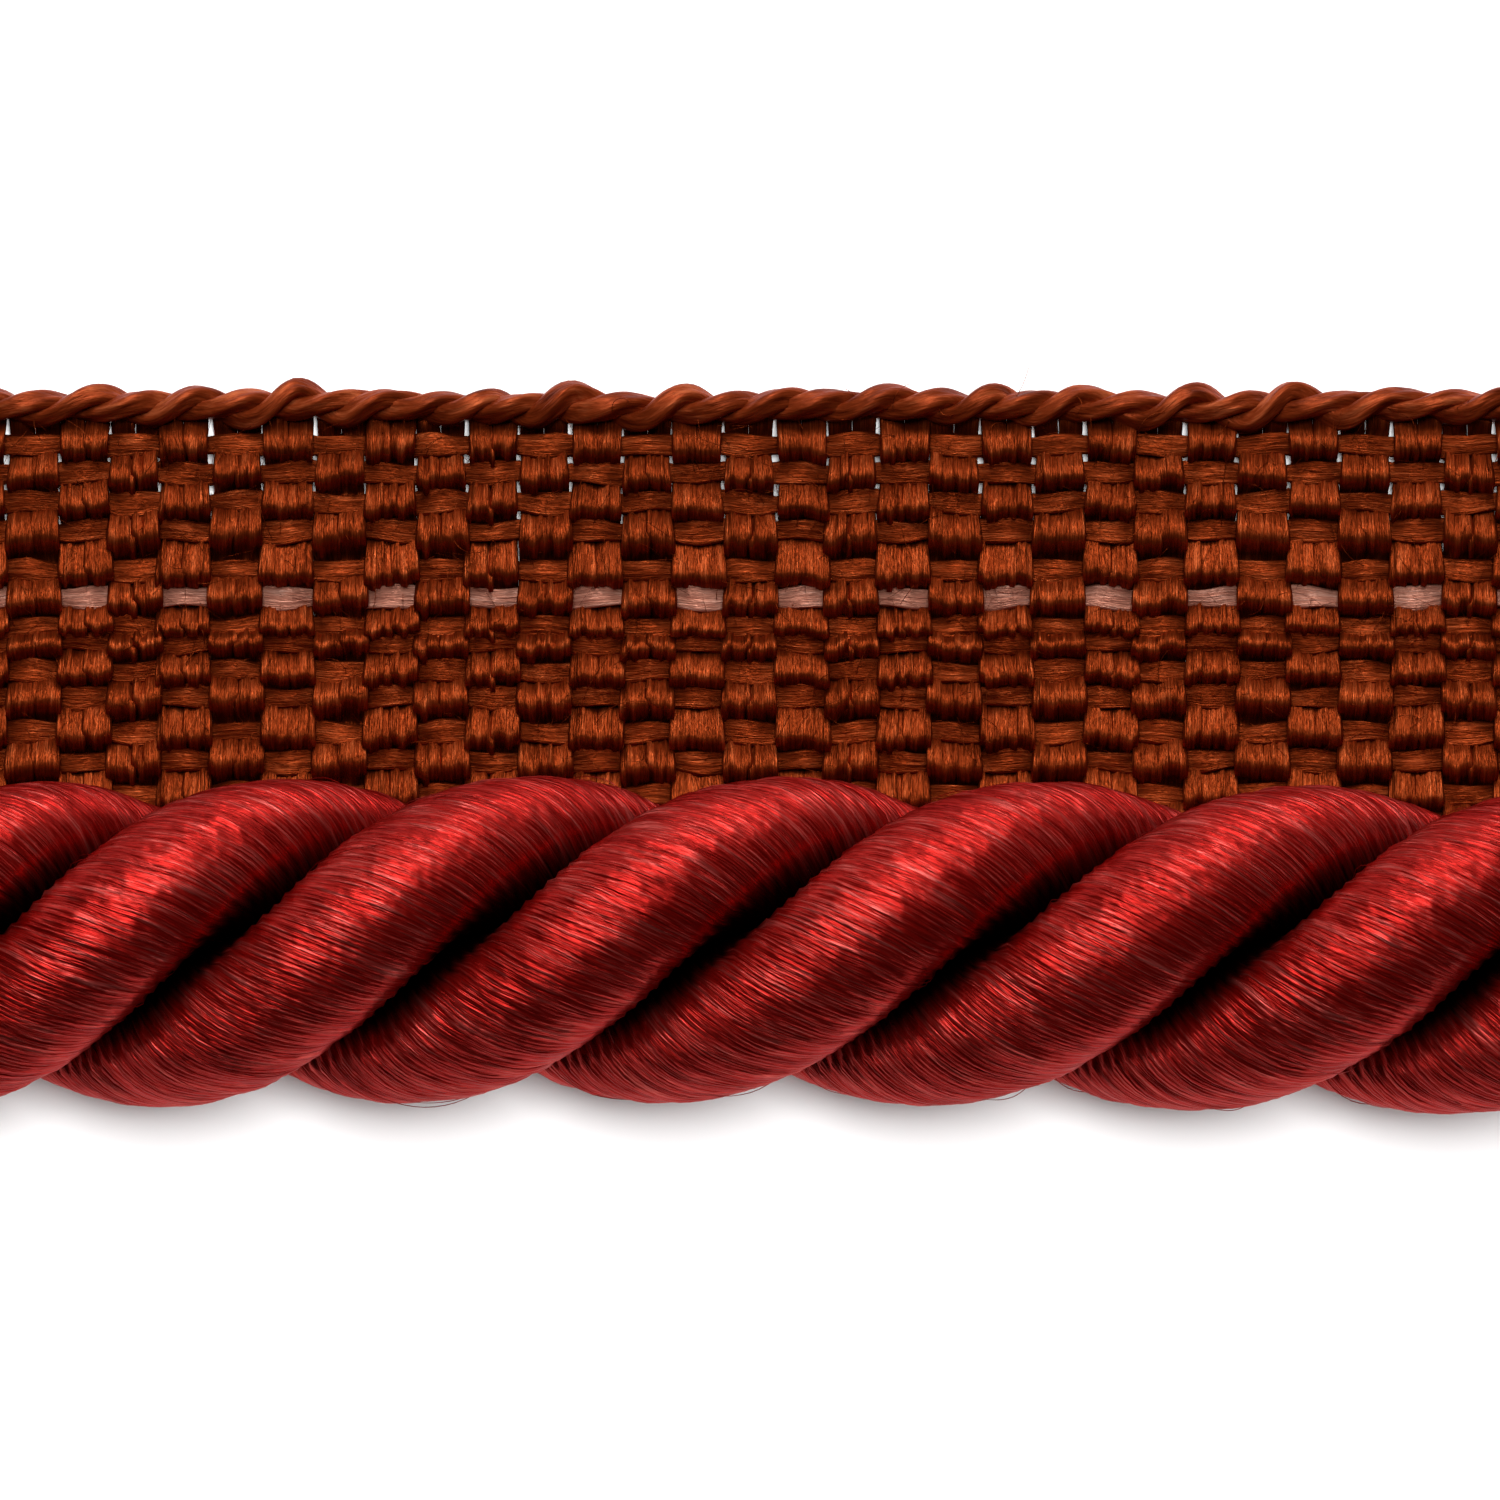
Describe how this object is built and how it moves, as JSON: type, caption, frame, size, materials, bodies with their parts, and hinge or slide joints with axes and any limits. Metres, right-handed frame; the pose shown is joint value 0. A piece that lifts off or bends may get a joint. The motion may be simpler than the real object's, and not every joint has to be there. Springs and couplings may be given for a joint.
{
  "type": "lip cord trim",
  "caption": "Twisted satin cord trim with a flat woven lip along one side, lying face up, cut to whole lays so that lengths join end to end.",
  "frame": {"origin": "on the lip's underside, on the seam line beside the cord, half-way along the trim", "axes": "+X along the cord, +Y outwards across the lip to its plaited edge, +Z out of the face of the trim, away from the surface it lies on"},
  "size_m": [0.0668, 0.0216, 0.0094],
  "materials": {
    "cord_satin": "satin",
    "lip_weave": "matt"
  },
  "bodies": {
    "root": {"cord_ply_1": "cord_satin", "cord_ply_2": "cord_satin", "cord_ply_3": "cord_satin", "lip_tape": "lip_weave"}
  },
  "joints": []
}
